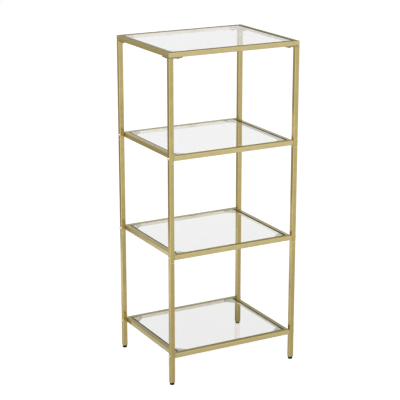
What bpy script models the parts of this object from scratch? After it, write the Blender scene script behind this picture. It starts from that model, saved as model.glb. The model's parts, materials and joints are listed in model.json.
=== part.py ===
"""Four-tier glass etagere: welded square-tube frames on sectional legs, with inset glass panels.

Units are metres, +Z is up, the front faces -Y and the origin is on the floor under the middle.
"""
import math

import bmesh
import bpy
from mathutils import Matrix

# Overall sizes
WIDTH = 0.450
DEPTH = 0.360
GROUND_GAP = 0.089
LOWER_PITCH = 0.322
MIDDLE_PITCH = 0.312
UPPER_PITCH = 0.312

# Square tube of the frames and legs
TUBE = 0.015
TUBE_WALL = 0.0012
TUBE_ROUND = 0.0016
FRAME_CORNER_ROUND = 0.0016

# Glass, its pads and the corner tabs that carry them
GLASS_THICKNESS = 0.005
GLASS_RECESS = 0.0004
GLASS_SIDE_GAP = 0.0030
GLASS_FRONT_GAP = 0.0010
GLASS_CORNER_ROUND = 0.003
GLASS_EDGE_BEVEL = 0.0007
PAD_LEG = 0.033
PAD_NOSE = 0.010
PAD_THICKNESS = 0.0015
PAD_INSET = 0.0012
TAB_LEG = 0.036
TAB_THICKNESS = 0.002
TAB_NOSE = 0.008

# Leg joints
SEAM_DROP = 0.0075
SEAM_GAP = 0.0006
SEAM_EASE = 0.0009
SPIGOT_RISE = 0.026
SPIGOT_DEPTH = 0.024
SPIGOT_CHAMFER = 0.0015
SPIGOT_PLAY = 0.0003

# Flange plate on each upper leg, and its screws
FLANGE_THICKNESS = 0.003
FLANGE_ARM = 0.038
FLANGE_INSET = 0.0006
SCREW_REACH = 0.026
SCREW_DIAMETER = 0.004
SCREW_HEAD_DIAMETER = 0.008
SCREW_HEAD_HEIGHT = 0.0026
SCREW_GRIP = 0.008

# Bolts through the legs
BOLT_DIAMETER = 0.005
BOLT_HEAD_DIAMETER = 0.0092
BOLT_HEAD_HEIGHT = 0.0034
BOLT_GRIP = 0.009
SOCKET_WIDTH = 0.0034
SOCKET_DEPTH = 0.0016
CROWN_FLAT = 0.72
TIP_EASE = 0.0005

# Levelling feet and the threaded end plugs that take them
FOOT_DIAMETER = 0.0148
FOOT_HEIGHT = 0.0080
FOOT_ROUND = 0.0016
FOOT_EASE = 0.0004
STEM_DIAMETER = 0.006
STEM_RISE = 0.022
PLUG_HEIGHT = 0.024

# Gap kept between pieces that touch, and the radial play of a fastener in its hole
SEAT_GAP = 0.0003
HOLE_PLAY = 0.0003

# Facets and the distance under which doubled vertices merge
TUBE_ROUND_STEPS = 2
FRAME_CORNER_STEPS = 2
EASE_STEPS = 2
GLASS_ROUND_STEPS = 4
FASTENER_SIDES = 12
HOLE_SIDES = 12
FOOT_SIDES = 20
DOME_STEPS = 3
MERGE = 0.000005

# Heights of the frames' undersides, from the floor
FRAME_UNDERSIDES = {
    "lower": GROUND_GAP,
    "middle": GROUND_GAP + LOWER_PITCH,
    "upper": GROUND_GAP + LOWER_PITCH + MIDDLE_PITCH,
    "top": GROUND_GAP + LOWER_PITCH + MIDDLE_PITCH + UPPER_PITCH,
}
SHELVES = ("upper", "middle", "lower")
CORNERS = {"front_left": (-1, -1), "front_right": (1, -1), "back_left": (-1, 1), "back_right": (1, 1)}

# Leg centres, and the outer size of the shelf frames that fit between the legs
LEG_X = (WIDTH - TUBE) / 2
LEG_Y = (DEPTH - TUBE) / 2
SHELF_WIDTH = WIDTH - 2 * TUBE - 2 * SEAT_GAP
TAB_TOP = TUBE - GLASS_RECESS - GLASS_THICKNESS - PAD_THICKNESS - 2 * SEAT_GAP
BORE = TUBE - 2 * TUBE_WALL
BORE_ROUND = max(TUBE_ROUND - TUBE_WALL, TUBE_ROUND / 10)
UPPER_SEAM = FRAME_UNDERSIDES["upper"] - SEAM_DROP
MIDDLE_SEAM = FRAME_UNDERSIDES["middle"] - SEAM_DROP
LEG_TOP = FRAME_UNDERSIDES["top"] - SEAT_GAP
TAB_WELD = TUBE_WALL / 2
ALONG_X = Matrix.Rotation(math.pi / 2, 3, "Y")


def clear_scene():
    """Remove every object of the open scene."""
    for thing in list(bpy.data.objects):
        bpy.data.objects.remove(thing)


def principled(name, colour, roughness, metallic, transmission=0.0):
    """Make a plain Principled BSDF material."""
    material = bpy.data.materials.new(name)
    material.use_nodes = True
    shader = material.node_tree.nodes["Principled BSDF"]
    shader.inputs["Base Color"].default_value = (*colour, 1.0)
    shader.inputs["Roughness"].default_value = roughness
    shader.inputs["Metallic"].default_value = metallic
    shader.inputs["Transmission Weight"].default_value = transmission
    return material


def add_object(name, mesh_builder, material):
    """Turn a bmesh into a named object with one material."""
    bmesh.ops.recalc_face_normals(mesh_builder, faces=mesh_builder.faces)
    mesh = bpy.data.meshes.new(name)
    mesh_builder.to_mesh(mesh)
    mesh_builder.free()
    mesh.materials.append(material)
    piece = bpy.data.objects.new(name, mesh)
    bpy.context.scene.collection.objects.link(piece)
    return piece


def smooth(piece, angle=math.radians(35)):
    """Shade a round piece smooth, with its sharp edges kept."""
    piece.data.shade_smooth()
    piece.data.set_sharp_from_angle(angle=angle)


def combine(piece, tool, operation):
    """Apply an exact boolean to a piece and drop the tool body."""
    step = piece.modifiers.new(operation.title(), "BOOLEAN")
    step.object = tool
    step.operation = operation
    step.solver = "EXACT"
    with bpy.context.temp_override(object=piece, active_object=piece):
        bpy.ops.object.modifier_apply(modifier=step.name)
    bpy.data.objects.remove(tool)


def rounded_rectangle(size_x, size_y, radius, steps):
    """Corner points of a rounded rectangle about the origin, anticlockwise."""
    points = []
    for quarter, (sx, sy) in enumerate(((1, 1), (-1, 1), (-1, -1), (1, -1))):
        centre_x = sx * (size_x / 2 - radius)
        centre_y = sy * (size_y / 2 - radius)
        for step in range(steps + 1):
            angle = math.pi / 2 * (quarter + step / steps)
            points.append((centre_x + radius * math.cos(angle), centre_y + radius * math.sin(angle)))
    return points


def square(size, radius):
    """Points of a square tube section with rounded corners."""
    return rounded_rectangle(size, size, radius, TUBE_ROUND_STEPS)


def circle(diameter):
    """Points of a round section, in step with the points of a square section."""
    return rounded_rectangle(diameter, diameter, diameter / 2, TUBE_ROUND_STEPS)


def bridge(builder, first, second):
    """Join two loops of equal length with quads."""
    count = len(first)
    for index in range(count):
        following = (index + 1) % count
        builder.faces.new((first[index], first[following], second[following], second[index]))


def loft(sections, endless=False):
    """Skin a stack of (points, height) sections, capped at both ends or joined end to end."""
    builder = bmesh.new()
    rings = []
    for points, height in sections:
        rings.append([builder.verts.new((x, y, height)) for x, y in points])
    for lower, upper in zip(rings, rings[1:]):
        bridge(builder, lower, upper)
    if endless:
        bridge(builder, rings[-1], rings[0])
    else:
        builder.faces.new(rings[0])
        builder.faces.new(rings[-1])
    bmesh.ops.remove_doubles(builder, verts=builder.verts, dist=MERGE)
    return builder


def turned(profile, sides):
    """Skin a turned solid from (radius, height) points, capped flat at both ends."""
    sections = []
    for radius, height in profile:
        angles = [2 * math.pi * side / sides for side in range(sides)]
        sections.append(([(radius * math.cos(a), radius * math.sin(a)) for a in angles], height))
    return loft(sections)


def prisms(outlines, low, high):
    """Extrude each plan outline between two heights, all in one bmesh."""
    builder = bmesh.new()
    for outline in outlines:
        bottom = [builder.verts.new((x, y, low)) for x, y in outline]
        top = [builder.verts.new((x, y, high)) for x, y in outline]
        bridge(builder, bottom, top)
        builder.faces.new(bottom)
        builder.faces.new(top)
    return builder


def pins(starts, length, diameter, turn=None):
    """Add equal round pins that start at the points and run along +Z, or along the turned axis."""
    builder = bmesh.new()
    for start in starts:
        made = bmesh.ops.create_cone(builder, cap_ends=True, segments=HOLE_SIDES, radius1=diameter / 2,
                                     radius2=diameter / 2, depth=length)
        bmesh.ops.translate(builder, verts=made["verts"], vec=(0, 0, length / 2))
        if turn:
            bmesh.ops.rotate(builder, verts=made["verts"], matrix=turn)
        bmesh.ops.translate(builder, verts=made["verts"], vec=start)
    return builder


def frame_section(size, radius, steps):
    """(inset, height) points of a tube section centred in the frame's rail."""
    points = rounded_rectangle(size, size, radius, steps)
    return [(TUBE / 2 + x, TUBE / 2 + y) for x, y in points]


def frame_ring(width, depth, section):
    """Sweep a tube section round a rectangle, with mitred and slightly rounded outer corners."""
    sections = []
    for inset, height in section:
        radius = max(FRAME_CORNER_ROUND - inset, 0.0)
        plan = rounded_rectangle(width - 2 * inset, depth - 2 * inset, radius, FRAME_CORNER_STEPS)
        sections.append((plan, height))
    return loft(sections, endless=True)


def corner_outline(sx, sy, width, near, leg, nose):
    """Plan outline of a plate in a frame's inner corner, with its free corner cut off."""
    inner_x = width / 2 - TUBE
    inner_y = DEPTH / 2 - TUBE
    points = [(near, near), (leg, near), (leg, nose), (nose, leg), (near, leg)]
    return [(sx * (inner_x - x), sy * (inner_y - y)) for x, y in points]


def build_frame(tier, width, holes):
    """One welded frame: a hollow tube ring with four corner tabs, pierced by its fastener holes."""
    ring = frame_ring(width, DEPTH, frame_section(TUBE, TUBE_ROUND, TUBE_ROUND_STEPS))
    frame = add_object("frame_" + tier, ring, METAL)
    outlines = [corner_outline(sx, sy, width, -TAB_WELD, TAB_LEG, TAB_NOSE) for sx, sy in CORNERS.values()]
    combine(frame, add_object("tabs", prisms(outlines, TAB_TOP - TAB_THICKNESS, TAB_TOP), METAL), "UNION")
    bore = frame_ring(width, DEPTH, frame_section(BORE, BORE_ROUND, 1))
    combine(frame, add_object("bore", bore, METAL), "DIFFERENCE")
    combine(frame, add_object("holes", holes, METAL), "DIFFERENCE")
    frame.location.z = FRAME_UNDERSIDES[tier]
    smooth(frame)
    return frame


def shelf_bolt_holes():
    """Bolt holes through the outer walls of a shelf frame's side rails, seen from the frame's underside."""
    starts = [(-WIDTH / 2, sy * LEG_Y, TUBE / 2) for sy in (-1, 1)]
    starts += [(WIDTH / 2 - TUBE - BOLT_GRIP, sy * LEG_Y, TUBE / 2) for sy in (-1, 1)]
    return pins(starts, TUBE + BOLT_GRIP, BOLT_DIAMETER + 2 * HOLE_PLAY, ALONG_X)


def screw_places(sx, sy):
    """Plan positions of the two flange screws of a corner, by the arm they sit on."""
    across = (sx * (LEG_X - SCREW_REACH), sy * LEG_Y)
    along = (sx * LEG_X, sy * (LEG_Y - SCREW_REACH))
    return {"width": across, "depth": along}


def top_screw_holes():
    """Screw holes through the bottom wall of the top frame."""
    starts = []
    for sx, sy in CORNERS.values():
        starts += [(x, y, -TUBE / 2) for x, y in screw_places(sx, sy).values()]
    return pins(starts, TUBE, SCREW_DIAMETER + 2 * HOLE_PLAY)


def eased_end(height, inward):
    """Sections of a tube end with a rounded outer edge, ordered from the end face inwards."""
    sections = []
    for step in range(EASE_STEPS + 1):
        angle = math.pi / 2 * step / EASE_STEPS
        inset = SEAM_EASE * (1 - math.sin(angle))
        drop = SEAM_EASE * (1 - math.cos(angle))
        sections.append((square(TUBE - 2 * inset, TUBE_ROUND), height + inward * drop))
    return sections


def spigot_end(height):
    """Sections of a tube's upper end with the spigot that plugs into the next length."""
    size = BORE - 2 * SPIGOT_PLAY
    sections = list(reversed(eased_end(height, -1)))
    sections.append((square(size, BORE_ROUND), height))
    sections.append((square(size, BORE_ROUND), height + SPIGOT_RISE - SPIGOT_CHAMFER))
    sections.append((square(size - 2 * SPIGOT_CHAMFER, BORE_ROUND), height + SPIGOT_RISE))
    return sections


def leg_bolt_holes(tiers):
    """Bolt holes right through a leg at the middle height of the named frames."""
    starts = [(-TUBE, 0.0, FRAME_UNDERSIDES[tier] + TUBE / 2) for tier in tiers]
    return pins(starts, 2 * TUBE, BOLT_DIAMETER + 2 * HOLE_PLAY, ALONG_X)


def place_leg(leg, corner):
    """Stand a leg length on its corner's axis."""
    sx, sy = CORNERS[corner]
    leg.location.x = sx * LEG_X
    leg.location.y = sy * LEG_Y
    smooth(leg)


def build_upper_leg(corner):
    """Upper leg length, with the flange plate that its screws pull against the top frame."""
    sx, sy = CORNERS[corner]
    bottom = UPPER_SEAM + SEAM_GAP
    flange_under = LEG_TOP - FLANGE_THICKNESS
    sections = [(square(BORE, BORE_ROUND), flange_under), (square(BORE, BORE_ROUND), bottom)]
    sections += eased_end(bottom, 1)
    sections.append((square(TUBE, TUBE_ROUND), flange_under + FLANGE_THICKNESS / 2))
    leg = add_object("leg_upper_" + corner, loft(sections), METAL)
    edge = TUBE / 2 - FLANGE_INSET
    outline = [(edge, edge), (-FLANGE_ARM, edge), (-FLANGE_ARM, -edge), (-edge, -edge),
               (-edge, -FLANGE_ARM), (edge, -FLANGE_ARM)]
    outline = [(sx * x, sy * y) for x, y in outline]
    combine(leg, add_object("flange", prisms([outline], flange_under, LEG_TOP), METAL), "UNION")
    below = flange_under - TUBE / 2
    starts = [(-sx * SCREW_REACH, 0.0, below), (0.0, -sy * SCREW_REACH, below)]
    holes = pins(starts, TUBE, SCREW_DIAMETER + 2 * HOLE_PLAY)
    combine(leg, add_object("holes", holes, METAL), "DIFFERENCE")
    combine(leg, add_object("holes", leg_bolt_holes(("upper",)), METAL), "DIFFERENCE")
    place_leg(leg, corner)


def build_middle_leg(corner):
    """Middle leg length, with a spigot on top that the upper frame's bolt locks."""
    bottom = MIDDLE_SEAM + SEAM_GAP
    sections = [(square(BORE, BORE_ROUND), UPPER_SEAM - SPIGOT_DEPTH), (square(BORE, BORE_ROUND), bottom)]
    sections += eased_end(bottom, 1) + spigot_end(UPPER_SEAM)
    leg = add_object("leg_middle_" + corner, loft(sections), METAL)
    combine(leg, add_object("holes", leg_bolt_holes(("upper", "middle")), METAL), "DIFFERENCE")
    place_leg(leg, corner)


def build_lower_leg(corner):
    """Lower leg length, with a spigot on top and the threaded plug of the foot at the bottom."""
    bottom = FOOT_HEIGHT + SEAT_GAP
    plug_top = bottom + PLUG_HEIGHT
    hole = circle(STEM_DIAMETER + 2 * HOLE_PLAY)
    sections = [(square(BORE, BORE_ROUND), MIDDLE_SEAM - SPIGOT_DEPTH), (square(BORE, BORE_ROUND), plug_top)]
    sections += [(hole, plug_top), (hole, bottom)]
    sections += eased_end(bottom, 1) + spigot_end(MIDDLE_SEAM)
    leg = add_object("leg_lower_" + corner, loft(sections), METAL)
    combine(leg, add_object("holes", leg_bolt_holes(("middle", "lower")), METAL), "DIFFERENCE")
    place_leg(leg, corner)


def build_foot(corner):
    """Levelling foot with its stem, turning on the leg's axis."""
    sx, sy = CORNERS[corner]
    radius = FOOT_DIAMETER / 2
    stem = STEM_DIAMETER / 2
    stem_top = FOOT_HEIGHT + STEM_RISE
    profile = []
    for step in range(DOME_STEPS + 1):
        angle = math.pi / 2 * step / DOME_STEPS
        profile.append((radius - FOOT_ROUND * (1 - math.sin(angle)), FOOT_ROUND * (1 - math.cos(angle))))
    profile += [(radius, FOOT_HEIGHT - FOOT_EASE), (radius - FOOT_EASE, FOOT_HEIGHT), (stem, FOOT_HEIGHT),
                (stem, stem_top - FOOT_EASE), (stem - FOOT_EASE, stem_top)]
    foot = add_object("foot_" + corner, turned(profile, FOOT_SIDES), PLASTIC)
    foot.location = (sx * LEG_X, sy * LEG_Y, 0.0)
    smooth(foot)


def fastener(name, diameter, reach, head_diameter, head_height):
    """Button-head fastener along +Z with its seat at the origin and a hexagon socket in the crown."""
    radius = diameter / 2
    head = head_diameter / 2
    rim = head_height / 5
    flat = SOCKET_WIDTH * CROWN_FLAT
    profile = [(radius - TIP_EASE, -reach), (radius, -reach + TIP_EASE), (radius, 0.0), (head, 0.0)]
    for step in range(DOME_STEPS + 1):
        angle = math.pi / 2 * step / DOME_STEPS
        profile.append((flat + (head - flat) * math.cos(angle), rim + (head_height - rim) * math.sin(angle)))
    piece = add_object(name, turned(profile, FASTENER_SIDES), BRIGHT)
    socket = bmesh.new()
    bmesh.ops.create_cone(socket, cap_ends=True, segments=6, radius1=SOCKET_WIDTH / math.sqrt(3),
                          radius2=SOCKET_WIDTH / math.sqrt(3), depth=2 * SOCKET_DEPTH)
    bmesh.ops.translate(socket, verts=socket.verts, vec=(0, 0, head_height))
    combine(piece, add_object("socket", socket, BRIGHT), "DIFFERENCE")
    smooth(piece)
    return piece.data, piece


def place_copy(name, mesh, location, rotation=(0.0, 0.0, 0.0)):
    """Add one more object on a shared mesh."""
    piece = bpy.data.objects.new(name, mesh)
    piece.location = location
    piece.rotation_euler = rotation
    bpy.context.scene.collection.objects.link(piece)


def build_bolts():
    """Twelve bolts through the legs into the shelf frames, heads outwards on both sides."""
    reach = TUBE + 2 * SEAT_GAP + BOLT_GRIP
    mesh, pattern = fastener("bolt", BOLT_DIAMETER, reach, BOLT_HEAD_DIAMETER, BOLT_HEAD_HEIGHT)
    bpy.data.objects.remove(pattern)
    for tier in SHELVES:
        height = FRAME_UNDERSIDES[tier] + TUBE / 2
        for corner, (sx, sy) in CORNERS.items():
            place = (sx * (WIDTH / 2 + SEAT_GAP), sy * LEG_Y, height)
            place_copy("bolt_" + tier + "_" + corner, mesh, place, (0.0, sx * math.pi / 2, 0.0))


def build_top_screws():
    """Eight screws up through the flange plates into the top frame."""
    reach = FLANGE_THICKNESS + 2 * SEAT_GAP + SCREW_GRIP
    mesh, pattern = fastener("screw", SCREW_DIAMETER, reach, SCREW_HEAD_DIAMETER, SCREW_HEAD_HEIGHT)
    bpy.data.objects.remove(pattern)
    height = LEG_TOP - FLANGE_THICKNESS - SEAT_GAP
    for corner, (sx, sy) in CORNERS.items():
        for arm, (x, y) in screw_places(sx, sy).items():
            place_copy("screw_" + arm + "_" + corner, mesh, (x, y, height), (math.pi, 0.0, 0.0))


def build_glass(tier, width):
    """One inset glass panel, its origin at the middle of its underside."""
    size_x = width - 2 * TUBE - 2 * GLASS_SIDE_GAP
    size_y = DEPTH - 2 * TUBE - 2 * GLASS_FRONT_GAP
    sections = []
    for inset, height in ((GLASS_EDGE_BEVEL, 0.0), (0.0, GLASS_EDGE_BEVEL),
                          (0.0, GLASS_THICKNESS - GLASS_EDGE_BEVEL), (GLASS_EDGE_BEVEL, GLASS_THICKNESS)):
        wide = size_x - 2 * inset
        deep = size_y - 2 * inset
        sections.append((rounded_rectangle(wide, deep, GLASS_CORNER_ROUND, GLASS_ROUND_STEPS), height))
    panel = add_object("glass_" + tier, loft(sections), GLASS)
    panel.location.z = FRAME_UNDERSIDES[tier] + TUBE - GLASS_RECESS - GLASS_THICKNESS


def build_pads(widths):
    """A clear pad on every corner tab, under the glass."""
    for tier, width in widths.items():
        for corner, (sx, sy) in CORNERS.items():
            outline = corner_outline(sx, sy, width, PAD_INSET, PAD_LEG, PAD_NOSE)
            pad = add_object("pad_" + tier + "_" + corner, prisms([outline], 0.0, PAD_THICKNESS), SILICONE)
            pad.location.z = FRAME_UNDERSIDES[tier] + TAB_TOP + SEAT_GAP


clear_scene()
METAL = principled("champagne_metal", (0.56, 0.44, 0.22), 0.32, 1.0)
BRIGHT = principled("bright_fastener", (0.70, 0.60, 0.36), 0.22, 1.0)
GLASS = principled("clear_glass", (0.92, 0.97, 0.94), 0.02, 0.0, 1.0)
PLASTIC = principled("black_plastic", (0.02, 0.02, 0.02), 0.5, 0.0)
SILICONE = principled("clear_silicone", (0.80, 0.84, 0.80), 0.35, 0.0, 0.6)

FRAME_WIDTHS = {"top": WIDTH, "upper": SHELF_WIDTH, "middle": SHELF_WIDTH, "lower": SHELF_WIDTH}
build_frame("top", WIDTH, top_screw_holes())
for shelf in SHELVES:
    build_frame(shelf, SHELF_WIDTH, shelf_bolt_holes())
for post in CORNERS:
    build_upper_leg(post)
    build_middle_leg(post)
    build_lower_leg(post)
    build_foot(post)
build_bolts()
build_top_screws()
for level, span in FRAME_WIDTHS.items():
    build_glass(level, span)
build_pads(FRAME_WIDTHS)
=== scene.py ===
"""Looks of the four-tier glass etagere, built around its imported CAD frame."""
import json
import logging
import math
from collections.abc import Callable, Iterator
from contextlib import contextmanager
from dataclasses import dataclass, replace
from enum import Enum, IntEnum

import bmesh
import bpy
from mathutils import Matrix, Vector

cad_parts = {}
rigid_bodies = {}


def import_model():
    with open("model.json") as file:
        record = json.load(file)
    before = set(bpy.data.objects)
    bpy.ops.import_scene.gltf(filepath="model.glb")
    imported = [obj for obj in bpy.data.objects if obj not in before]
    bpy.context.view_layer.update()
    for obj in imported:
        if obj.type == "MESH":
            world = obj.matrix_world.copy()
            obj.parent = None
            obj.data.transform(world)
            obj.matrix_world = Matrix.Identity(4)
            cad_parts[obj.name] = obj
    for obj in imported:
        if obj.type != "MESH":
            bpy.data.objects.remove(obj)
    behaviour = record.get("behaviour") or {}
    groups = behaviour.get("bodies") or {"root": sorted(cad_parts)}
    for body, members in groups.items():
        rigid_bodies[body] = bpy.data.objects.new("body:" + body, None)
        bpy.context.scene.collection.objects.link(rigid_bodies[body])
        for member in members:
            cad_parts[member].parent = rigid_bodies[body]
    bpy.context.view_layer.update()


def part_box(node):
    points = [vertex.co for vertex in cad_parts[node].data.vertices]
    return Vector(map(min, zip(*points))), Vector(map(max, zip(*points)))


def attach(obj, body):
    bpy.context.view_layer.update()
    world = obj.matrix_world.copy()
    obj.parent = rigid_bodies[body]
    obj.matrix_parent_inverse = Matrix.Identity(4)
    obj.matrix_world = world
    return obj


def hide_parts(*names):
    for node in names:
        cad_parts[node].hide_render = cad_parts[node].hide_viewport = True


LOG = logging.getLogger("etagere")
STAND = "stand"

Colour = tuple[float, float, float]
Triple = tuple[float, float, float]
Span = tuple[float, float]
Piece = bpy.types.Object
Material = bpy.types.Material
Socket = bpy.types.NodeSocket
Tint = Colour | Socket
EdgeTest = Callable[[Vector, Vector], bool]

# Sizes in metres, and numbers of sides, that more than one piece takes
TUBE = 0.015
BOLT_HOLE = 0.0028
SCREW_HOLE = 0.0023
OVERRUN = 0.01
DRILL_SIDES = 20
STEM_SIDES = 24
HEXAGON = 6

# Tolerances in metres: for points that meet, edges on a plane and faces by a wall
SAME_POINT = 1e-6
ON_PLANE = 1e-5
BY_WALL = 1e-4

# Shares of a unit normal, for telling faces apart by the way they look
HARDLY = 0.1
SKEWED = 0.15
SLANTED = 0.2
LEANING = 0.3
MOSTLY = 0.9
SQUARELY = 0.98

QUARTER_TURN = math.pi / 2
SMOOTH_ANGLE = math.radians(40)
ROUND_PROFILE = 0.5
COARSE_OCTAVES = 3.0
FINE_OCTAVES = 2.0
WHITE = (1.0, 1.0, 1.0, 1.0)
LOOK_AT: Triple = (0.0, 0.0, 0.5)


class Corner(Enum):
    """The four posts, with the sign of their place along X and Y."""

    FRONT_LEFT = (-1, -1)
    FRONT_RIGHT = (1, -1)
    BACK_LEFT = (-1, 1)
    BACK_RIGHT = (1, 1)

    @property
    def label(self) -> str:
        """Name of the corner as the CAD nodes write it."""
        return self.name.lower()

    @property
    def turn(self) -> Matrix:
        """Quarter turns about +Z that bring the front left corner here."""
        order = (Corner.FRONT_LEFT, Corner.FRONT_RIGHT, Corner.BACK_RIGHT, Corner.BACK_LEFT)
        return Matrix.Rotation(order.index(self) * QUARTER_TURN, 4, "Z")


class Tier(Enum):
    """The four shelves, from the top down."""

    TOP = "top"
    UPPER = "upper"
    MIDDLE = "middle"
    LOWER = "lower"


BOLTED_TIERS = (Tier.UPPER, Tier.MIDDLE, Tier.LOWER)


class Length(Enum):
    """The three tube lengths that make up a post."""

    UPPER = "upper"
    MIDDLE = "middle"
    LOWER = "lower"


class Arm(Enum):
    """The two arms of a flange plate."""

    WIDTH = "width"
    DEPTH = "depth"


class Axis(Enum):
    """Directions that a rod or drill can lie along, as a turn from +Z."""

    X = (0.0, QUARTER_TURN, 0.0)
    Z = (0.0, 0.0, 0.0)


class FrameFace(IntEnum):
    """Places of a frame's materials in its list."""

    # Front rails, and the top frame's back rail: the metal whose grazing colour paints shade on their tops.
    FRONT = 0
    # Side rails and the lower shelves' back rails: a paler copy of the metal, a painted reflection.
    SIDE = 1
    # Inner walls: the bright metal, painted light.
    WALL = 2
    # Inner round of the side rails: near black, a painted shadow line.
    BEAD = 3


class PostFace(IntEnum):
    """Places of a post's materials in its list."""

    FLAT = 0
    # Seam rims: bright metal, a painted highlight.
    RIM = 1
    # Rounded long edges: brighter metal, a painted highlight.
    EDGE = 2
    # Flange plate: darker metal, painted shade under the top frame.
    PLATE = 3


class GlassFace(IntEnum):
    """Places of a panel's materials in its list."""

    CLEAR = 0
    # Short edges: ground, and painted near black as shade.
    GROUND = 1
    # Upper left arris of the upper two panels: pale, painted light.
    SEAMED = 2


@dataclass(frozen=True)
class Round:
    """A rounded edge: its reach in metres and its number of steps."""

    reach: float
    steps: int


# Modelling steps


def select_only(piece: Piece) -> None:
    """Make one object the only selected one and the active one.

    Args:
        piece: The object to select.
    """
    bpy.ops.object.select_all(action="DESELECT")
    piece.select_set(True)
    bpy.context.view_layer.objects.active = piece


@contextmanager
def editing(piece: Piece, mode: str) -> Iterator[bmesh.types.BMesh]:
    """Open a piece in edit mode with nothing selected, and close it again.

    Args:
        piece: The object to edit.
        mode: The select mode, VERT, EDGE or FACE.

    Returns:
        The edit mesh, for setting the selection.
    """
    select_only(piece)
    bpy.ops.object.mode_set(mode="EDIT")
    bpy.ops.mesh.select_mode(type=mode)
    bpy.ops.mesh.select_all(action="DESELECT")
    yield bmesh.from_edit_mesh(piece.data)
    bpy.ops.object.mode_set(mode="OBJECT")


def settle(piece: Piece) -> None:
    """Apply an object's place, turn and scale to its mesh."""
    select_only(piece)
    bpy.ops.object.transform_apply(location=True, rotation=True, scale=True)


def add_block(name: str, start: Vector, end: Vector) -> Piece:
    """Add a box between two opposite corners, as the start of a piece.

    Args:
        name: Name of the object.
        start: One corner.
        end: The corner across from it.

    Returns:
        The new object, at the origin with its place in its mesh.
    """
    bpy.ops.object.select_all(action="DESELECT")
    bpy.ops.mesh.primitive_cube_add(size=1.0, location=(start + end) / 2)
    block = bpy.context.active_object
    block.name = name
    block.scale = [abs(side) for side in end - start]
    settle(block)
    return block


def add_rod(name: str, radius: float, start: Vector, length: float, sides: int,
            axis: Axis = Axis.Z) -> Piece:
    """Add a round bar that starts at a point and runs along an axis.

    Args:
        name: Name of the object.
        radius: Radius of the bar.
        start: Centre of its first end.
        length: Length along the axis.
        sides: Number of sides.
        axis: Direction of the bar.

    Returns:
        The new object, at the origin with its place in its mesh.
    """
    along = Vector((1, 0, 0)) if axis is Axis.X else Vector((0, 0, 1))
    bpy.ops.object.select_all(action="DESELECT")
    bpy.ops.mesh.primitive_cylinder_add(vertices=sides, radius=radius, depth=length,
                                        location=start + along * length / 2, rotation=axis.value)
    rod = bpy.context.active_object
    rod.name = name
    settle(rod)
    return rod


def bevel_edges(piece: Piece, test: EdgeTest, form: Round) -> None:
    """Round the edges that pass a test.

    Args:
        piece: The object to change.
        test: Takes an edge's two end points and says whether to round it.
        form: Reach and steps of the rounding.
    """
    with editing(piece, "EDGE") as mesh:
        for edge in mesh.edges:
            edge.select_set(test(edge.verts[0].co, edge.verts[1].co))
        bmesh.update_edit_mesh(piece.data)
        bpy.ops.mesh.bevel(offset=form.reach, segments=form.steps, profile=ROUND_PROFILE,
                           affect="EDGES", clamp_overlap=True)


def cut_off(piece: Piece, point: Vector, outward: Triple) -> None:
    """Cut away what lies beyond a plane, and close the cut.

    Args:
        piece: The object to change.
        point: A point on the plane.
        outward: Direction of the side that goes.
    """
    with editing(piece, "FACE"):
        bpy.ops.mesh.select_all(action="SELECT")
        bpy.ops.mesh.bisect(plane_co=point, plane_no=outward, use_fill=True, clear_outer=True)


def apply_modifier(piece: Piece, kind: str, **settings: object) -> None:
    """Add one modifier to a piece and apply it.

    Args:
        piece: The object to change.
        kind: The modifier's type.
        settings: Its settings by name.
    """
    modifier = piece.modifiers.new(kind.title(), kind)
    for key, value in settings.items():
        setattr(modifier, key, value)
    select_only(piece)
    bpy.ops.object.modifier_apply(modifier=modifier.name)


def soften(piece: Piece, form: Round) -> None:
    """Round every sharp edge of a piece."""
    apply_modifier(piece, "BEVEL", width=form.reach, segments=form.steps, limit_method="ANGLE")


def combine(piece: Piece, tool: Piece, operation: str) -> None:
    """Join a tool body to a piece or cut it away, by UNION or DIFFERENCE, and drop the tool."""
    apply_modifier(piece, "BOOLEAN", object=tool, operation=operation, solver="EXACT")
    bpy.data.objects.remove(tool)


def middle_of(node: str) -> Vector:
    """Middle of a CAD node's box."""
    low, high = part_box(node)
    return (low + high) / 2


def copy_piece(pattern: Piece, name: str, place: Matrix) -> Piece:
    """Copy a piece with its own mesh and move the mesh.

    Args:
        pattern: The object to copy.
        name: Name of the copy.
        place: Where the pattern's mesh goes.

    Returns:
        The copy, at the origin.
    """
    twin = pattern.copy()
    twin.data = pattern.data.copy()
    twin.name = name
    twin.data.transform(place)
    bpy.context.scene.collection.objects.link(twin)
    return twin


def finish_piece(piece: Piece, body: str, node: str, slot: str, *materials: Material) -> None:
    """Shade and dress a piece, place it on its body and hide its CAD node.

    Args:
        piece: The finished object.
        body: The CAD body it rides on.
        node: The CAD node it stands for.
        slot: The record's material slot; not used.
        materials: Its materials, the main one first.
    """
    with editing(piece, "VERT"):
        bpy.ops.mesh.select_all(action="SELECT")
        bpy.ops.mesh.remove_doubles(threshold=SAME_POINT)
    bpy.ops.object.shade_smooth_by_angle(angle=SMOOTH_ANGLE)
    apply_modifier(piece, "WEIGHTED_NORMAL", mode="FACE_AREA", weight=100, keep_sharp=True)
    piece.data.materials.clear()
    for material in materials:
        piece.data.materials.append(material)
    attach(piece, body)
    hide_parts(node)
    LOG.info("%s stands for %s on %s", piece.name, node, body)


# Finishes


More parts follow.
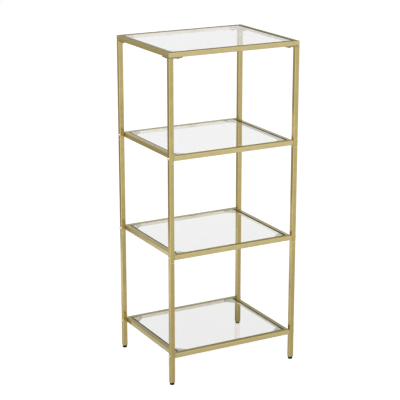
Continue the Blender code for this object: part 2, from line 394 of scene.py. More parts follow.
class NodeDesk:
    """Short calls for building a node tree."""

    NOISE_ROUGHNESS = 0.55
    NOISE_SPAN: Span = (0.32, 0.68)

    def __init__(self, tree: bpy.types.NodeTree) -> None:
        """Empty a tree and keep it for building."""
        self.tree = tree
        self.tree.nodes.clear()

    def add(self, kind: str, *sources: Socket, **inputs: object) -> bpy.types.Node:
        """Add a node and feed its sockets.

        Args:
            kind: The node's type name.
            sources: Output sockets to link to its inputs, in order.
            inputs: Fixed values or output sockets by input name, with underscores for spaces.

        Returns:
            The new node.
        """
        node = self.tree.nodes.new(kind)
        named = [(node.inputs[key.replace("_", " ")], value) for key, value in inputs.items()]
        for target, value in [*zip(node.inputs, sources), *named]:
            if isinstance(value, Socket):
                self.tree.links.new(value, target)
            else:
                target.default_value = value
        return node

    def noise(self, place: Socket, scale: float, octaves: float) -> Socket:
        """Value of a noise texture at a place."""
        return self.add("ShaderNodeTexNoise", Vector=place, Scale=scale, Detail=octaves,
                        Roughness=self.NOISE_ROUGHNESS).outputs["Fac"]

    def spread(self, value: Socket, low: float, high: float) -> Socket:
        """Map the middle of a noise value onto a range from low to high."""
        start, end = self.NOISE_SPAN
        return self.add("ShaderNodeMapRange", Value=value, From_Min=start, From_Max=end,
                        To_Min=low, To_Max=high).outputs["Result"]

    def blend(self, factor: Socket, first: Tint, second: Tint) -> Socket:
        """Mix two colours by a factor.

        Args:
            factor: Share of the second colour.
            first: Colour at 0, fixed or from a socket.
            second: Colour at 1, fixed or from a socket.

        Returns:
            The mixed colour.
        """
        mix = self.tree.nodes.new("ShaderNodeMix")
        mix.data_type = "RGBA"
        self.tree.links.new(factor, mix.inputs["Factor"])
        for name, colour in (("A", first), ("B", second)):
            if isinstance(colour, Socket):
                self.tree.links.new(colour, mix.inputs[name])
            else:
                mix.inputs[name].default_value = (*colour, 1.0)
        return mix.outputs["Result"]

    def ramp(self, value: Socket, span: Span) -> Socket:
        """Go smoothly from 0 to 1 over a span of a value.

        Args:
            value: The value to map.
            span: Where the ramp starts and ends.

        Returns:
            The mapped value.
        """
        mapping = self.add("ShaderNodeMapRange", Value=value, From_Min=span[0], From_Max=span[1])
        mapping.interpolation_type = "SMOOTHSTEP"
        return mapping.outputs["Result"]

    def split(self, vector: Socket) -> list[Socket]:
        """The X, Y and Z of a vector."""
        return list(self.add("ShaderNodeSeparateXYZ", Vector=vector).outputs)

    def distance(self, place: Socket, centre: Triple) -> Socket:
        """Measure how far a place is from a point.

        Args:
            place: The place.
            centre: The point.

        Returns:
            The distance.
        """
        node = self.add("ShaderNodeVectorMath", place)
        node.operation = "DISTANCE"
        node.inputs[1].default_value = centre
        return node.outputs["Value"]

    def either(self, first: Socket, second: Socket) -> Socket:
        """Take the larger of two values.

        Args:
            first: One value.
            second: The other value.

        Returns:
            The larger one.
        """
        node = self.add("ShaderNodeMath", first, second)
        node.operation = "MAXIMUM"
        return node.outputs["Value"]

    def mix_shaders(self, share: Socket, first: Socket, second: Socket) -> Socket:
        """Mix two shaders by the share of the second."""
        return self.add("ShaderNodeMixShader", share, first, second).outputs["Shader"]


class Surface(NodeDesk):
    """A new material's node tree, with the object coordinates at hand."""

    def __init__(self, name: str) -> None:
        """Start the material.

        Args:
            name: Name of the material.
        """
        self.material = bpy.data.materials.new(name)
        self.material.use_nodes = True
        super().__init__(self.material.node_tree)
        self.place = self.add("ShaderNodeTexCoord").outputs["Object"]


@dataclass(frozen=True)
class Relief:
    """A fine bump: the scale of its noise, its strength and its depth in metres."""

    scale: float
    strength: float
    depth: float


@dataclass(frozen=True)
class Finish:
    """A solid surface with a clouded colour, an uneven roughness and a fine relief."""

    name: str
    pale: Colour
    deep: Colour
    rough: Span
    clouds: float
    relief: Relief
    gritty: bool = False

    def fixed(self) -> dict[str, object]:
        """The shader's fixed values by socket name, with underscores for spaces."""
        return {}

    def material(self) -> Material:
        """Build the material. A gritty one is rough by its relief, others by their clouds.

        Returns:
            The material.
        """
        desk = Surface(self.name)
        drift = desk.noise(desk.place, self.clouds, COARSE_OCTAVES)
        fine = desk.noise(desk.place, self.relief.scale, FINE_OCTAVES)
        bump = desk.add("ShaderNodeBump", Height=fine, Strength=self.relief.strength,
                        Distance=self.relief.depth)
        shader = desk.add("ShaderNodeBsdfPrincipled", **self.fixed(),
                          Base_Color=desk.blend(desk.spread(drift, 0.0, 1.0), self.pale, self.deep),
                          Roughness=desk.spread(fine if self.gritty else drift, *self.rough),
                          Normal=bump.outputs["Normal"])
        desk.add("ShaderNodeOutputMaterial", Surface=shader.outputs["BSDF"])
        return desk.material


@dataclass(frozen=True)
class PlatedMetal(Finish):
    """Satin plated steel with a fine grain and faint handling marks."""

    clouds: float = 38.0
    relief: Relief = Relief(900.0, 0.012, 0.0002)
    # A grazing colour below white darkens faces seen edge-on, such as the rail tops: painted shade.
    grazing: Colour = (1.0, 1.0, 1.0)

    def fixed(self) -> dict[str, object]:
        """Metal, with a colour at grazing angles, which paints shade on faces seen edge-on where it is
        darker than white.
        """
        return {"Metallic": 1.0, "Specular_Tint": (*self.grazing, 1.0)}


@dataclass(frozen=True)
class GroundEdge(Finish):
    """Ground edge of float glass, painted near black as the shade in the gap beside it, unless it is given
    paler colours, which paint light there instead.
    """

    pale: Colour = (0.030, 0.042, 0.028)
    deep: Colour = (0.014, 0.021, 0.013)
    rough: Span = (0.38, 0.55)
    clouds: float = 60.0
    relief: Relief = Relief(2600.0, 0.1, 0.0001)
    gritty: bool = True
    shine: float = 0.02

    def fixed(self) -> dict[str, object]:
        """Its share of mirror reflection."""
        return {"Specular_IOR_Level": self.shine}


@dataclass(frozen=True)
class MouldedPlastic(Finish):
    """Matt moulded plastic with a fine spark-eroded grain."""

    clouds: float = 160.0
    relief: Relief = Relief(2200.0, 0.15, 0.0002)
    clear: float = 0.0
    shine: float = 0.5

    def fixed(self) -> dict[str, object]:
        """Its clearness and its share of mirror reflection."""
        return {"Transmission_Weight": self.clear, "Specular_IOR_Level": self.shine}


@dataclass(frozen=True)
class FloatGlass:
    """Clear float glass with a faint film and a green body colour."""

    name: str
    tint: Colour = (0.898, 0.900, 0.896)
    body: Colour = (0.84, 0.93, 0.86)
    density: float = 5.0
    index: float = 1.5
    film_scale: float = 9.0
    film_octaves: float = 4.0
    haze: float = 0.012

    def material(self) -> Material:
        """Build the material.

        Returns:
            The material.
        """
        desk = Surface(self.name)
        film = desk.noise(desk.place, self.film_scale, self.film_octaves)
        shader = desk.add("ShaderNodeBsdfPrincipled", Base_Color=(*self.tint, 1.0), Transmission_Weight=1.0,
                          IOR=self.index, Roughness=desk.spread(film, 0.0, self.haze))
        absorb = desk.add("ShaderNodeVolumeAbsorption", Color=(*self.body, 1.0), Density=self.density)
        desk.add("ShaderNodeOutputMaterial", Surface=shader.outputs["BSDF"], Volume=absorb.outputs["Volume"])
        return desk.material


@dataclass(frozen=True)
class Palette:
    """The materials of the whole stand."""

    rail: Material
    side_rail: Material
    crown_rail: Material
    crown_side: Material
    post: Material
    post_edge: Material
    flange: Material
    fastener: Material
    glass: Material
    glass_edge: Material
    glass_arris: Material
    bead: Material
    foot: Material
    pad: Material

    @classmethod
    def mix(cls) -> "Palette":
        """Build every material of the stand.

        Returns:
            The materials.
        """
        # Front and back rails: the grazing colour below white paints shade on their tops.
        rail = PlatedMetal("champagne_rail", (0.65, 0.55, 0.275), (0.61, 0.515, 0.255),
                           rough=(0.28, 0.35), grazing=(0.54, 0.47, 0.33))
        # Side rails: smoother, which is the finish's own, and paler, a painted reflection standing in for
        # grain that runs across the view.
        side = PlatedMetal("champagne_side_rail", (0.68, 0.575, 0.29), (0.64, 0.54, 0.27),
                           rough=(0.19, 0.25), grazing=(0.74, 0.77, 0.82))
        # The top frame: darker grazing colours, painted shade on its tops.
        crown = replace(rail, name="champagne_crown_rail", grazing=(0.34, 0.29, 0.22))
        crown_side = replace(side, name="champagne_crown_side", grazing=(0.47, 0.48, 0.41))
        # Posts: darker than the rails, painted shade standing in for the grain along the tubes reflecting
        # less light.
        post = PlatedMetal("champagne_post", (0.53, 0.43, 0.185), (0.49, 0.395, 0.165), rough=(0.19, 0.25))
        # Rounded long edges of the posts: brighter, a painted highlight.
        edge = replace(post, name="champagne_post_edge", pale=(0.69, 0.57, 0.27), deep=(0.65, 0.535, 0.25))
        # Flange plates and their screws: darker, painted shade under the top frame.
        flange = PlatedMetal("dull_flange", (0.40, 0.37, 0.25), (0.36, 0.335, 0.225), rough=(0.28, 0.36))
        # Bolts in their own paler plating; the same metal paints light on the frames' inner walls and a
        # highlight on the posts' seam rims.
        fastener = PlatedMetal("bright_fastener", (0.88, 0.82, 0.66), (0.82, 0.76, 0.58), rough=(0.14, 0.20))
        glass = FloatGlass("clear_glass")
        # Short glass edges: ground, and near black with almost no reflection, painted shade in the gap
        # beside the rail.
        ground = GroundEdge("ground_glass_edge")
        # Upper left arris of the upper two panels: pale, painted light.
        arris = GroundEdge("seamed_glass_arris", (0.60, 0.57, 0.46), (0.54, 0.515, 0.41), shine=0.3)
        # Inner round of the side rails: near black, a painted shadow line.
        bead = MouldedPlastic("dark_glazing_bead", (0.034, 0.028, 0.014), (0.022, 0.018, 0.010),
                              rough=(0.42, 0.56), shine=0.02)
        foot = MouldedPlastic("black_foot", (0.006, 0.006, 0.006), (0.003, 0.003, 0.003),
                              rough=(0.50, 0.62), shine=0.12)
        pad = MouldedPlastic("clear_pad", (1.0, 1.0, 0.82), (0.97, 0.98, 0.79),
                             rough=(0.34, 0.46), clear=0.02, shine=0.05)
        in_field_order = (rail, side, crown, crown_side, post, edge, flange, fastener, glass, ground, arris,
                          bead, foot, pad)
        return cls(*(finish.material() for finish in in_field_order))


# Pieces


@dataclass
class ShelfFrame:
    """A welded frame of square tube, with a glass tab in each corner."""

    tier: Tier
    palette: Palette
    outer_round: Round = Round(0.0016, 5)
    inner_round: Round = Round(0.0006, 3)
    tab_leg: float = 0.036
    tab_nose: float = 0.008
    tab_low: float = 0.0055
    tab_high: float = 0.0075
    tab_weld: float = 0.0006
    tab_round: Round = Round(0.0004, 2)
    bolt_reach: float = 0.0105
    screw_reach: float = 0.0095

    @property
    def node(self) -> str:
        """The CAD node that this frame stands for."""
        return "frame_" + self.tier.value

    def build(self) -> None:
        """Model, dress and place the frame."""
        ring = self.ring()
        for corner in Corner:
            combine(ring, self.tab(corner), "UNION")
        for drill in self.drills():
            combine(ring, drill, "DIFFERENCE")
        paints = self.palette
        # The top frame takes the darker grazing copies of the metals: painted shade on its tops.
        crown = self.tier is Tier.TOP
        finish_piece(ring, STAND, self.node, "champagne_metal", paints.crown_rail if crown else paints.rail,
                     paints.crown_side if crown else paints.side_rail, paints.fastener, paints.bead)
        self.dress_faces(ring)

    def dress_faces(self, ring: Piece) -> None:
        """Give each face its own metal.

        The side rails, and the shelves' back rail, are smoother, and paler as a painted reflection, and the
        inner walls are bright as painted light. The round along the inner upper edge of the side rails is
        near black, a painted shadow line.

        Args:
            ring: The finished frame.
        """
        _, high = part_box(self.node)
        wall_x, wall_y = high.x - TUBE, high.y - TUBE
        for face in ring.data.polygons:
            x, y = abs(face.center.x), abs(face.center.y)
            beside = x > wall_x - BY_WALL or y > wall_y - BY_WALL
            within = x < wall_x + BY_WALL and y < wall_y + BY_WALL
            # Paler side and back rails are a painted reflection, bright inner walls painted light, the
            # near-black inner round a painted shadow line.
            if beside and within and abs(face.normal.z) < HARDLY:
                face.material_index = FrameFace.WALL
            elif wall_x < x < wall_x + self.inner_round.reach and y < wall_y and face.normal.z > HARDLY:
                face.material_index = FrameFace.BEAD
            elif x > wall_x - BY_WALL and y < wall_y:
                face.material_index = FrameFace.SIDE
            elif self.tier is not Tier.TOP and face.center.y > wall_y - BY_WALL:
                face.material_index = FrameFace.SIDE
            else:
                face.material_index = FrameFace.FRONT

    def ring(self) -> Piece:
        """Model the tube ring: a slab, inset and opened, with rounded edges.

        Returns:
            The ring.
        """
        low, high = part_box(self.node)
        ring = add_block(self.tier.value + "_shelf_frame", low, high)
        with editing(ring, "FACE") as mesh:
            for face in mesh.faces:
                face.select_set(abs(face.normal.z) > MOSTLY)
            bmesh.update_edit_mesh(ring.data)
            bpy.ops.mesh.inset(thickness=TUBE, use_individual=True)
            bpy.ops.mesh.delete(type="FACE")
        with editing(ring, "EDGE") as mesh:
            for edge in mesh.edges:
                edge.select_set(edge.is_boundary)
            bmesh.update_edit_mesh(ring.data)
            bpy.ops.mesh.bridge_edge_loops()
            bpy.ops.mesh.select_all(action="SELECT")
            bpy.ops.mesh.normals_make_consistent(inside=False)
        hole = high.x - TUBE + ON_PLANE, high.y - TUBE + ON_PLANE
        rim = high.x - ON_PLANE, high.y - ON_PLANE

        def inside(point: Vector) -> bool:
            """Whether a point lies on the ring's inner wall."""
            return abs(point.x) < hole[0] and abs(point.y) < hole[1]

        def outside(point: Vector) -> bool:
            """Whether a point is one of the ring's outer corners."""
            return abs(point.x) > rim[0] and abs(point.y) > rim[1]

        bevel_edges(ring, lambda a, b: inside(a) and inside(b), self.inner_round)
        bevel_edges(ring, lambda a, b: outside(a) and outside(b), self.outer_round)
        return ring

    def tab(self, corner: Corner) -> Piece:
        """Model one corner tab: a plate with its free corner cut off.

        Args:
            corner: Where the tab sits.

        Returns:
            The tab.
        """
        low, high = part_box(self.node)
        sx, sy = corner.value
        wall_x, wall_y = high.x - TUBE, high.y - TUBE
        near = Vector((sx * (wall_x + self.tab_weld), sy * (wall_y + self.tab_weld), low.z + self.tab_low))
        far = Vector((sx * (wall_x - self.tab_leg), sy * (wall_y - self.tab_leg), low.z + self.tab_high))
        tab = add_block("tab", near, far)
        cut_off(tab, Vector((far.x, sy * (wall_y - self.tab_nose), low.z)), (-sx, -sy, 0.0))
        soften(tab, self.tab_round)
        return tab

    def drills(self) -> list[Piece]:
        """Model the drills for the frame's blind fastener holes.

        Returns:
            The drills.
        """
        low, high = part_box(self.node)
        tools = []
        for corner in Corner:
            if self.tier is Tier.TOP:
                for arm in Arm:
                    middle = middle_of(f"screw_{arm.value}_{corner.label}")
                    start = Vector((middle.x, middle.y, low.z - TUBE))
                    tools.append(add_rod("drill", SCREW_HOLE, start, TUBE + self.screw_reach, DRILL_SIDES))
            else:
                sx, sy = corner.value
                start_x = high.x - self.bolt_reach if sx > 0 else low.x - TUBE
                start = Vector((start_x, sy * (high.y - TUBE / 2), (low.z + high.z) / 2))
                tools.append(add_rod("drill", BOLT_HOLE, start, TUBE + self.bolt_reach, DRILL_SIDES, Axis.X))
        return tools


@dataclass
class PostTube:
    """One length of a corner post, hollow, with eased ends."""

    length: Length
    palette: Palette
    wall: float = 0.0012
    outer_round: Round = Round(0.0016, 6)
    ease: Round = Round(0.0012, 4)
    lip: Round = Round(0.0005, 2)
    spigot_rise: float = 0.026
    spigot_depth: float = 0.024
    spigot_size: float = 0.0120
    plug_height: float = 0.024
    stem_hole: float = 0.0033
    flange: float = 0.003
    flange_arm: float = 0.038
    flange_inset: float = 0.0006
    flange_round: Round = Round(0.0006, 2)
    screw_offset: float = 0.026

    def build(self) -> None:
        """Model one length, then copy, drill, dress and place all four."""
        pattern = self.blank(Corner.FRONT_LEFT)
        home = self.axis_point(Corner.FRONT_LEFT)
        for corner in Corner:
            place = Matrix.Translation(self.axis_point(corner)) @ corner.turn @ Matrix.Translation(-home)
            piece = copy_piece(pattern, f"{self.length.value}_post_{corner.label}", place)
            for drill in self.drills(corner):
                combine(piece, drill, "DIFFERENCE")
            finish_piece(piece, STAND, self.node(corner), "champagne_metal", self.palette.post,
                         self.palette.fastener, self.palette.post_edge, self.palette.flange)
            self.dress_faces(piece, corner)
        bpy.data.objects.remove(pattern)

    def dress_faces(self, piece: Piece, corner: Corner) -> None:
        """Give each face its own metal.

        The rims at the seams and the rounded long edges are brighter, a painted highlight, and the
        flange plates are darker, painted shade under the frame.

        Args:
            piece: The finished tube.
            corner: Where it stands.
        """
        bottom, top = self.span(corner)
        axis = self.axis_point(corner)
        flat = TUBE / 2 - self.outer_round.reach
        rims = []
        if self.length is not Length.UPPER:
            rims.append((top - self.ease.reach, top))
        if self.length is not Length.LOWER:
            rims.append((bottom, bottom + self.lip.reach))
        plate = top - self.flange - BY_WALL if self.length is Length.UPPER else math.inf
        # Bright seam rims and long edges are painted highlights; the darker flange plate is painted shade.
        for face in piece.data.polygons:
            spot, tilt = face.center - axis, face.normal
            eased = any(low < face.center.z < high for low, high in rims)
            if eased and SLANTED < abs(tilt.z) < SQUARELY:
                face.material_index = PostFace.RIM
            elif spot.z > plate:
                face.material_index = PostFace.PLATE
            elif min(abs(spot.x), abs(spot.y)) > flat and min(abs(tilt.x), abs(tilt.y)) > SKEWED:
                face.material_index = PostFace.EDGE
            else:
                face.material_index = PostFace.FLAT

    def node(self, corner: Corner) -> str:
        """The CAD node of this length at a corner."""
        return f"leg_{self.length.value}_{corner.label}"

    def axis_point(self, corner: Corner) -> Vector:
        """Point on a post's axis at floor level."""
        low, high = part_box("foot_" + corner.label)
        return Vector(((low.x + high.x) / 2, (low.y + high.y) / 2, 0.0))

    def span(self, corner: Corner) -> Span:
        """Find the ends of the visible tube, without its spigot.

        Args:
            corner: Where the tube stands.

        Returns:
            Its lowest and highest point.
        """
        low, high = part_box(self.node(corner))
        top = high.z if self.length is Length.UPPER else high.z - self.spigot_rise
        return low.z, top

    def prism(self, name: str, centre: Vector, size: float, ends: Span, rounding: float) -> Piece:
        """Model a square bar with rounded long edges.

        Args:
            name: Name of the bar.
            centre: Point on its axis.
            size: Width across its flats.
            ends: Heights of its lower and upper end.
            rounding: Radius of its long edges.

        Returns:
            The bar.
        """
        bottom, top = ends
        half = Vector((size / 2, size / 2, 0.0))
        bar = add_block(name, centre - half + Vector((0, 0, bottom)), centre + half + Vector((0, 0, top)))
        tall = (top - bottom) / 2
        bevel_edges(bar, lambda a, b: abs(a.z - b.z) > tall, replace(self.outer_round, reach=rounding))
        return bar

    def blank(self, corner: Corner) -> Piece:
        """Model the tube at one corner, before its bolt holes are drilled.

        Args:
            corner: The corner to model it at.

        Returns:
            The tube.
        """
        centre = self.axis_point(corner)
        bottom, top = self.span(corner)
        upper = self.length is Length.UPPER
        outer_top = top - self.flange / 2 if upper else top
        tube = self.prism("post", centre, TUBE, (bottom, outer_top), self.outer_round.reach)
        bevel_edges(tube, lambda a, b: max(abs(a.z - bottom), abs(b.z - bottom)) < ON_PLANE, self.lip)
        if not upper:
            bevel_edges(tube, lambda a, b: max(abs(a.z - top), abs(b.z - top)) < ON_PLANE, self.ease)
        inner = self.outer_round.reach - self.wall
        bore_bottom = bottom + self.plug_height if self.length is Length.LOWER else bottom - OVERRUN
        bore_top = top - self.flange if upper else top - self.spigot_depth
        bore = self.prism("bore", centre, TUBE - 2 * self.wall, (bore_bottom, bore_top), inner)
        combine(tube, bore, "DIFFERENCE")
        if upper:
            combine(tube, self.flange_plate(corner, top), "UNION")
            return tube
        spigot_ends = top - self.spigot_depth / 2, top + self.spigot_rise
        combine(tube, self.prism("spigot", centre, self.spigot_size, spigot_ends, inner), "UNION")
        if self.length is Length.LOWER:
            start = Vector((centre.x, centre.y, bottom - OVERRUN))
            drill = add_rod("drill", self.stem_hole, start, self.plug_height + 2 * OVERRUN, STEM_SIDES)
            combine(tube, drill, "DIFFERENCE")
        return tube

    def flange_plate(self, corner: Corner, top: float) -> Piece:
        """Model the flange plate with its two arms and their screw holes.

        Args:
            corner: The corner it belongs to.
            top: Height of its upper face.

        Returns:
            The plate.
        """
        sx, sy = corner.value
        centre = self.axis_point(corner)
        edge = TUBE / 2 - self.flange_inset
        outer = centre + Vector((sx * edge, sy * edge, top - self.flange))
        arms = []
        for reach_x, reach_y in ((self.flange_arm, edge), (edge, self.flange_arm)):
            inner = centre + Vector((-sx * reach_x, -sy * reach_y, top))
            arms.append(add_block("flange", outer, inner))
        plate = arms[0]
        combine(plate, arms[1], "UNION")
        soften(plate, self.flange_round)
        for dx, dy in ((-sx * self.screw_offset, 0.0), (0.0, -sy * self.screw_offset)):
            start = Vector((centre.x + dx, centre.y + dy, top - 2 * self.flange))
            combine(plate, add_rod("drill", SCREW_HOLE, start, 3 * self.flange, DRILL_SIDES), "DIFFERENCE")
        return plate

    def drills(self, corner: Corner) -> list[Piece]:
        """Model the drills for the bolts that pass through this length.

        Args:
            corner: The corner of the copy.

        Returns:
            The drills.
        """
        low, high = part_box(self.node(corner))
        centre = self.axis_point(corner)
        tools = []
        for tier in BOLTED_TIERS:
            frame_low, frame_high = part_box("frame_" + tier.value)
            height = (frame_low.z + frame_high.z) / 2
            if low.z < height < high.z:
                start = Vector((centre.x - TUBE, centre.y, height))
                tools.append(add_rod("drill", BOLT_HOLE, start, 2 * TUBE, DRILL_SIDES, Axis.X))
        return tools


@dataclass
class GlassPanel:
    """One shelf's glass, with rounded corners, ground short edges painted near black as shade, and polished
    long ones.
    """

    tier: Tier
    palette: Palette
    corner_round: Round = Round(0.003, 6)
    edge_round: Round = Round(0.0010, 3)

    def build(self) -> None:
        """Model, dress and place the panel."""
        node = "glass_" + self.tier.value
        low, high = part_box(node)
        panel = add_block(self.tier.value + "_shelf_glass", low, high)
        tall = (high.z - low.z) / 2
        bevel_edges(panel, lambda a, b: abs(a.z - b.z) > tall, self.corner_round)
        bevel_edges(panel, lambda a, b: abs(a.z - b.z) < tall, self.edge_round)
        finish_piece(panel, "panel_" + self.tier.value, node, "clear_glass",
                     self.palette.glass, self.palette.glass_edge, self.palette.glass_arris)
        self.dress_faces(panel)

    def dress_faces(self, panel: Piece) -> None:
        """Give the panel's two short edges the ground finish, painted near black as shade.

        Along the upper left edge the upper two panels are pale, painted light, the third is polished and
        the lowest is ground and near black, painted shade, too.

        Args:
            panel: The glass.
        """
        # The pale arris on the upper two panels is painted light; the near-black one on the lowest is
        # painted shade.
        arris = {Tier.TOP: GlassFace.SEAMED, Tier.UPPER: GlassFace.SEAMED, Tier.MIDDLE: GlassFace.CLEAR,
                 Tier.LOWER: GlassFace.GROUND}[self.tier]
        for face in panel.data.polygons:
            tilt = face.normal
            if tilt.x < -SQUARELY or tilt.x > LEANING:
                face.material_index = GlassFace.GROUND
            elif tilt.x < -SLANTED and tilt.z > HARDLY:
                face.material_index = arris
            else:
                face.material_index = GlassFace.CLEAR


@dataclass
class Fastener:
    """A button-head bolt or screw with a hexagon socket."""

    radius: float
    head_radius: float
    head_height: float
    crown: Round
    tip: Round
    socket: float = 0.0034
    socket_depth: float = 0.0016
    sides: int = 32

    def pattern(self, reach: float) -> Piece:
        """Model the fastener along +Z with its seat at the origin.

        Args:
            reach: Length of its shank.

        Returns:
            The fastener.
        """
        top = self.head_height
        head = add_rod("head", self.head_radius, Vector(), top, self.sides)
        bevel_edges(head, lambda a, b: min(a.z, b.z) > top - SAME_POINT, self.crown)
        # The shank runs a third of the way into the head
        shank = add_rod("shank", self.radius, Vector((0, 0, -reach)), reach + top / 3, self.sides)
        bevel_edges(shank, lambda a, b: max(a.z, b.z) < -reach + SAME_POINT, self.tip)
        combine(head, shank, "UNION")
        start = Vector((0, 0, top - self.socket_depth))
        key = add_rod("key", self.socket / math.sqrt(3), start, 2 * self.socket_depth, HEXAGON)
        combine(head, key, "DIFFERENCE")
        return head


@dataclass
class BoltSet:
    """The twelve bolts that hold the shelf frames between the posts."""

    form: Fastener
    palette: Palette

    def build(self) -> None:
        """Model one bolt, then copy, dress and place all of them."""
        low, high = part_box("bolt_upper_front_left")
        pattern = self.form.pattern(high.x - low.x - self.form.head_height)
        for tier in BOLTED_TIERS:
            for corner in Corner:
                node = f"bolt_{tier.value}_{corner.label}"
                low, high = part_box(node)
                side = corner.value[0]
                seat_x = high.x - self.form.head_height if side > 0 else low.x + self.form.head_height
                seat = Vector((seat_x, (low.y + high.y) / 2, (low.z + high.z) / 2))
                place = Matrix.Translation(seat) @ Matrix.Rotation(side * QUARTER_TURN, 4, "Y")
                piece = copy_piece(pattern, f"{tier.value}_bolt_{corner.label}", place)
                finish_piece(piece, STAND, node, "bright_fastener", self.palette.fastener)
        bpy.data.objects.remove(pattern)


@dataclass
class ScrewSet:
    """The eight screws that hold the top frame to the flange plates."""

    form: Fastener
    palette: Palette

    def build(self) -> None:
        """Model one screw, then copy, dress and place all of them."""
        low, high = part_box("screw_width_front_left")
        pattern = self.form.pattern(high.z - low.z - self.form.head_height)
        for arm in Arm:
            for corner in Corner:
                node = f"screw_{arm.value}_{corner.label}"
                low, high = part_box(node)
                seat = Vector(((low.x + high.x) / 2, (low.y + high.y) / 2, low.z + self.form.head_height))
                place = Matrix.Translation(seat) @ Matrix.Rotation(math.pi, 4, "X")
                piece = copy_piece(pattern, f"{arm.value}_flange_screw_{corner.label}", place)
                # The screws take the flange plates' darker metal: painted shade under the top frame.
                finish_piece(piece, STAND, node, "bright_fastener", self.palette.flange)
        bpy.data.objects.remove(pattern)


@dataclass
class LevellingFoot:
    """A black screw-in foot with a rounded lower edge and a stem."""

    palette: Palette
    height: float = 0.0080
    sides: int = 40
    sole_round: Round = Round(0.0016, 5)
    rim_round: Round = Round(0.0004, 2)
    stem_radius: float = 0.003

    def build(self) -> None:
        """Model one foot, then copy, dress and place all four."""
        low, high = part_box("foot_front_left")
        centre = (low + high) / 2
        base = Vector((centre.x, centre.y, low.z))
        top = self.height
        foot = add_rod("foot", (high.x - low.x) / 2, base, top, self.sides)
        bevel_edges(foot, lambda a, b: max(a.z, b.z) < SAME_POINT, self.sole_round)
        bevel_edges(foot, lambda a, b: min(a.z, b.z) > top - SAME_POINT, self.rim_round)
        start = base + Vector((0, 0, top / 2))
        stem = add_rod("stem", self.stem_radius, start, high.z - top / 2, STEM_SIDES)
        bevel_edges(stem, lambda a, b: min(a.z, b.z) > high.z - SAME_POINT, self.rim_round)
        combine(foot, stem, "UNION")
        for corner in Corner:
            node = "foot_" + corner.label
            place = Matrix.Translation(middle_of(node) - centre)
            piece = copy_piece(foot, "levelling_foot_" + corner.label, place)
            finish_piece(piece, "leveller_" + corner.label, node, "black_plastic", self.palette.foot)
        bpy.data.objects.remove(foot)


@dataclass
class PadSet:
    """The clear corner pads on the tabs, under the glass."""

    palette: Palette
    nose: float = 0.0088
    corner_round: Round = Round(0.003, 5)
    edge_round: Round = Round(0.0004, 2)

    def build(self) -> None:
        """Model one pad, then copy, dress and place all of them."""
        pattern = self.blank()
        home = middle_of("pad_top_front_left")
        for tier in Tier:
            for corner in Corner:
                node = f"pad_{tier.value}_{corner.label}"
                place = Matrix.Translation(middle_of(node)) @ corner.turn @ Matrix.Translation(-home)
                piece = copy_piece(pattern, f"{tier.value}_glass_pad_{corner.label}", place)
                finish_piece(piece, STAND, node, "clear_silicone", self.palette.pad)
        bpy.data.objects.remove(pattern)

    def blank(self) -> Piece:
        """Model the pad at the top frame's front left corner.

        Returns:
            The pad, with its free corner cut off and its corners rounded.
        """
        low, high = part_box("pad_top_front_left")
        pad = add_block("pad", low, high)
        cut_off(pad, Vector((high.x, low.y + self.nose, low.z)), (1.0, 1.0, 0.0))
        tall = (high.z - low.z) / 2
        bevel_edges(pad, lambda a, b: abs(a.z - b.z) > tall, self.corner_round)
        bevel_edges(pad, lambda a, b: min(a.z, b.z) > high.z - SAME_POINT, self.edge_round)
        return pad


# Studio


def hang(data: bpy.types.Camera | bpy.types.Light, place: Vector, forward: Vector) -> Piece:
    """Add a camera or a lamp that looks along a direction.

    Args:
        data: The camera or lamp, whose name it takes.
        place: Where it hangs.
        forward: The way it looks.

    Returns:
        The new object.
    """
    thing = bpy.data.objects.new(data.name, data)
    thing.location = place
    thing.rotation_euler = forward.to_track_quat("-Z", "Y").to_euler()
    bpy.context.scene.collection.objects.link(thing)
    return thing


@dataclass
class PhotoCamera:
    """The camera, at the photograph's viewing angle."""

    azimuth: float = math.radians(28.42)
    elevation: float = math.radians(16.47)
    distance: float = 4.341
    lens: float = 121.75
    sensor: float = 36.0
    slide: float = -0.0220
    lift: float = 0.0256

    def build(self) -> None:
        """Add the camera and make it the scene's camera."""
        level, drop = math.cos(self.elevation), -math.sin(self.elevation)
        east, north = math.sin(self.azimuth), math.cos(self.azimuth)
        forward = Vector((east * level, north * level, drop))
        right = Vector((north, -east, 0.0))
        up = right.cross(forward)
        data = bpy.data.cameras.new("photo_camera")
        data.lens = self.lens
        data.sensor_width = self.sensor
        place = Vector(LOOK_AT) - forward * self.distance + right * self.slide + up * self.lift
        bpy.context.scene.camera = hang(data, place, forward)


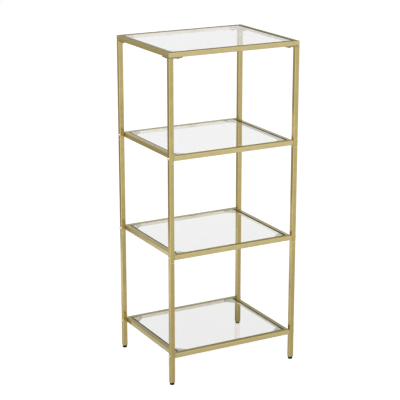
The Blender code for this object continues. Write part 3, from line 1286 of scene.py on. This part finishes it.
@dataclass
class Studio:
    """A white sweep with soft light, and a room of lighter and darker sides for reflections."""

    floor_size: float = 14.0
    floor_drop: float = 0.0004
    floor_colour: Colour = (0.86, 0.86, 0.86)
    floor_lift: float = 0.62
    # The floor round the feet, as reflections see it
    pool_near: Colour = (0.76, 0.75, 0.71)
    pool_front: Colour = (0.80, 0.78, 0.71)
    pool_back: Colour = (1.12, 1.12, 1.12)
    pool_depth: Span = (-0.5, 0.5)
    pool_reach: Span = (0.4, 1.0)
    pool_end: Span = (1.2, 1.55)
    pool_shade: Colour = (0.36, 0.345, 0.30)
    shade_place: Triple = (0.34, 0.24, 0.0)
    shade_reach: Span = (0.14, 0.30)
    # The room by direction, with the spans over which its sides meet
    fill: float = 0.55
    front: Colour = (1.0, 1.0, 1.0)
    back: Colour = (0.42, 0.38, 0.28)
    front_to_back: Span = (-0.7, 0.7)
    left: Colour = (1.5, 1.48, 1.4)
    to_left: Span = (-0.60, -0.80)
    ground: Colour = (0.80, 0.80, 0.80)
    to_ground: Span = (-0.28, -0.40)
    horizon: Colour = (0.87, 0.87, 0.87)
    to_horizon: Span = (-0.235, -0.05)
    overhead: Colour = (1.25, 1.25, 1.2)
    to_overhead: Span = (0.25, 0.48)
    ceiling: Colour = (0.24, 0.24, 0.23)
    to_ceiling: Span = (0.0, 0.5)
    key_power: float = 42.0
    key_size: float = 2.2
    key_place: Triple = (-1.4, -3.2, 3.4)

    def build(self) -> None:
        """Add the world, the floor and the lamp."""
        bpy.context.scene.view_settings.view_transform = "Standard"
        self.world()
        self.floor()
        self.key()

    def world(self) -> None:
        """White to the camera and through glass; to reflections, a room with lighter and darker sides."""
        world = bpy.data.worlds.new("white_studio")
        bpy.context.scene.world = world
        world.use_nodes = True
        desk = NodeDesk(world.node_tree)
        ray = desk.add("ShaderNodeLightPath").outputs
        x, y, z = desk.split(desk.add("ShaderNodeTexCoord").outputs["Generated"])
        depth = desk.blend(desk.ramp(y, self.front_to_back), self.front, self.back)
        walls = desk.blend(desk.ramp(x, self.to_left), depth, self.left)
        below = desk.blend(desk.ramp(z, self.to_ground), walls, self.ground)
        roof = desk.blend(desk.ramp(y, self.to_ceiling), self.overhead, self.ceiling)
        above = desk.blend(desk.ramp(z, self.to_overhead), self.horizon, roof)
        sides = desk.blend(desk.ramp(z, self.to_horizon), below, above)
        mirrored = desk.add("ShaderNodeBackground", Color=sides).outputs["Background"]
        room = desk.add("ShaderNodeBackground", Color=WHITE, Strength=self.fill).outputs["Background"]
        white = desk.add("ShaderNodeBackground", Color=WHITE, Strength=1.0).outputs["Background"]
        seen = desk.either(ray["Is Camera Ray"], ray["Is Transmission Ray"])
        lit = desk.mix_shaders(ray["Is Glossy Ray"], room, mirrored)
        desk.add("ShaderNodeOutputWorld", Surface=desk.mix_shaders(seen, lit, white))

    def floor(self) -> None:
        """A pale floor that keeps the shadow and joins the white background."""
        bpy.ops.object.select_all(action="DESELECT")
        bpy.ops.mesh.primitive_plane_add(size=self.floor_size, location=(0.0, 0.0, -self.floor_drop))
        floor = bpy.context.active_object
        floor.name = "studio_floor"
        settle(floor)
        desk = Surface("pale_floor")
        ray = desk.add("ShaderNodeLightPath").outputs
        through = ray["Is Transmission Ray"]
        paint = desk.add("ShaderNodeBsdfDiffuse", Color=(*self.floor_colour, 1.0)).outputs["BSDF"]
        glow = desk.add("ShaderNodeEmission", Color=WHITE, Strength=self.floor_lift).outputs["Emission"]
        lifted = desk.add("ShaderNodeAddShader", paint, glow).outputs["Shader"]
        plain = desk.mix_shaders(desk.either(ray["Is Camera Ray"], through), paint, lifted)
        whole = desk.mix_shaders(ray["Is Glossy Ray"], plain, self.pool(desk, through))
        desk.add("ShaderNodeOutputMaterial", Surface=whole)
        floor.data.materials.append(desk.material)

    def pool(self, desk: Surface, through: Socket) -> Socket:
        """Light the floor round the feet for reflections, but for the shelf's shade.

        Further out the reflections see the room.

        Args:
            desk: The floor's material.
            through: 1 for rays that come through glass, which see the white room.

        Returns:
            The shader.
        """
        reach = desk.distance(desk.place, (0.0, 0.0, 0.0))
        away = desk.distance(desk.place, self.shade_place)
        depth = desk.split(desk.place)[1]
        far = desk.blend(desk.ramp(depth, self.pool_depth), self.pool_front, self.pool_back)
        lit = desk.blend(desk.ramp(reach, self.pool_reach), self.pool_near, far)
        shaded = desk.blend(desk.ramp(away, self.shade_reach), self.pool_shade, lit)
        light = desk.add("ShaderNodeEmission", Color=shaded).outputs["Emission"]
        clear = desk.add("ShaderNodeBsdfTransparent").outputs["BSDF"]
        return desk.mix_shaders(desk.either(desk.ramp(reach, self.pool_end), through), light, clear)

    def key(self) -> None:
        """A large soft lamp in front, above and to the left."""
        data = bpy.data.lights.new("key_softbox", "AREA")
        data.shape = "SQUARE"
        data.size = self.key_size
        data.energy = self.key_power
        place = Vector(self.key_place)
        hang(data, place, Vector(LOOK_AT) - place)


def main() -> None:
    """Load the frame, dress every piece and set up the studio."""
    logging.basicConfig(level=logging.INFO, format="%(name)s: %(message)s")
    for thing in list(bpy.data.objects):
        bpy.data.objects.remove(thing)
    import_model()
    PhotoCamera().build()
    palette = Palette.mix()
    bolt = Fastener(radius=0.0025, head_radius=0.0046, head_height=0.0034,
                    crown=Round(0.0026, 6), tip=Round(0.0005, 2))
    screw = Fastener(radius=0.0020, head_radius=0.0040, head_height=0.0026,
                     crown=Round(0.0018, 6), tip=Round(0.0004, 2))
    for tier in Tier:
        ShelfFrame(tier, palette).build()
    for length in Length:
        PostTube(length, palette).build()
    for tier in Tier:
        GlassPanel(tier, palette).build()
    for kind in (BoltSet(bolt, palette), ScrewSet(screw, palette), LevellingFoot(palette), PadSet(palette)):
        kind.build()
    Studio().build()


if __name__ == "__main__":
    main()
